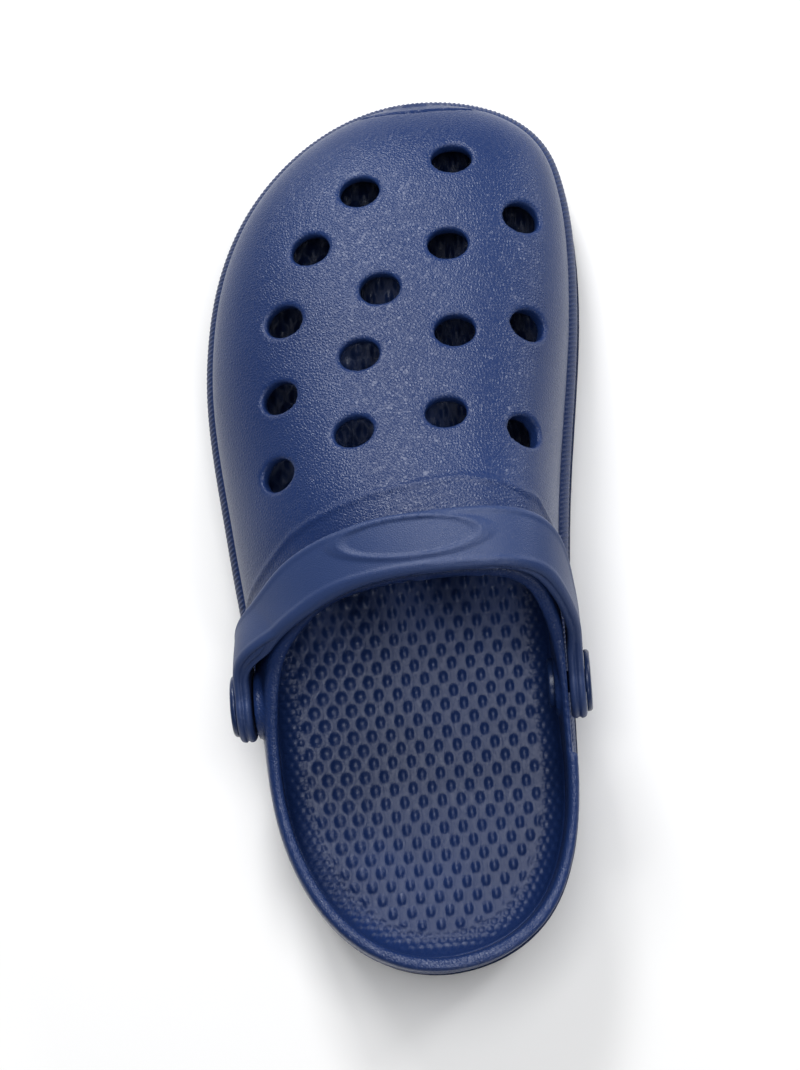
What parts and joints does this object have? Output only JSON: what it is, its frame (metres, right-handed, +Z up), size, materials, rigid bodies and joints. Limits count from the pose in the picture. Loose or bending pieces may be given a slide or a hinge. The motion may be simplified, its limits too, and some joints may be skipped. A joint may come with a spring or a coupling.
{
  "type": "garden clog",
  "caption": "Left foot moulded foam clog with a vented closed toe, textured footbed, treaded outsole and a heel strap that swings on two rivets.",
  "frame": {"origin": "on the ground under the middle of the clog's bounding box", "axes": "+Y towards the toe, +X towards the inner (medial) side of the left foot, +Z up"},
  "size_m": [0.1279, 0.2935, 0.0996],
  "materials": {
    "foam_shell": "satin, fine leather grain",
    "sole_rubber": "slightly glossy, ribbed",
    "strap_foam": "matte, fine grain",
    "rivet_plastic": "smooth semi-gloss"
  },
  "bodies": {
    "clog": {"clog_shell": "foam_shell", "outsole": "sole_rubber", "outer_rivet_cap": "rivet_plastic", "inner_rivet_cap": "rivet_plastic", "outer_rivet_socket": "rivet_plastic", "inner_rivet_socket": "rivet_plastic"},
    "strap": {"heel_strap": "strap_foam"}
  },
  "joints": [
    {"name": "strap_swing", "type": "hinge", "parent": "clog", "child": "strap", "pos_m": [0, -0.056, 0.047], "axis": [1, 0, 0], "range_deg": [0, 100]}
  ]
}
